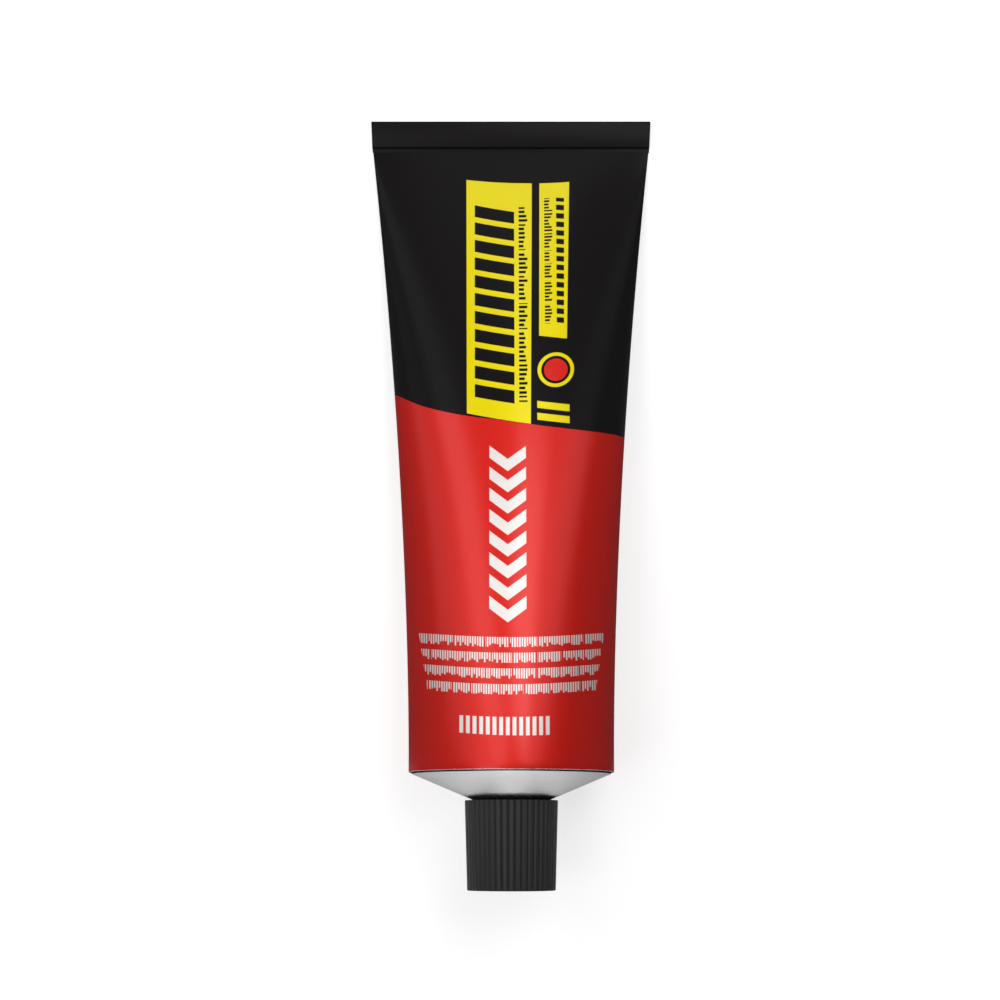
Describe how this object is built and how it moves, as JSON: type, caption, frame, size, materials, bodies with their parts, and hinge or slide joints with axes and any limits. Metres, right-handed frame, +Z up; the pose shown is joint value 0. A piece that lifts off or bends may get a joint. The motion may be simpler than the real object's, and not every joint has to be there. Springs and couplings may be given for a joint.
{
  "type": "construction adhesive tube",
  "caption": "Squeezable enamelled aluminium adhesive tube with a sealed nose, a ribbed screw cap and a double-folded end, lying on its back.",
  "frame": {"origin": "middle of the object's box in plan, on the surface that it lies on", "axes": "+Y along the tube towards the folded end, +Z up out of its front, +X to its right as seen from above with the fold away from the viewer"},
  "size_m": [0.0632, 0.1707, 0.0441],
  "materials": {
    "tube_enamel": "glossy red and black enamel on aluminium, bare bright metal at the shoulder and neck",
    "cap_plastic": "near-black moulded plastic, satin",
    "wad_foam": "white sealing foam"
  },
  "bodies": {
    "tube": {"tube_body": "tube_enamel"},
    "wad": {"cap_wad": "wad_foam"},
    "cap": {"cap": "cap_plastic"}
  },
  "joints": [
    {"name": "cap_lift", "type": "slide", "parent": "tube", "child": "wad", "axis": [0, -0.9875, 0.1574], "range_m": [0, 0.012]},
    {"name": "cap_turn", "type": "hinge", "parent": "wad", "child": "cap", "pos_m": [0, -0.05909, 0.02216], "axis": [0, -0.9875, 0.1574], "range_deg": [0, 1440]}
  ],
  "couplings": [
    {"joint": "cap_lift", "follows": "cap_turn", "m_per_rad": 0.00047746}
  ]
}
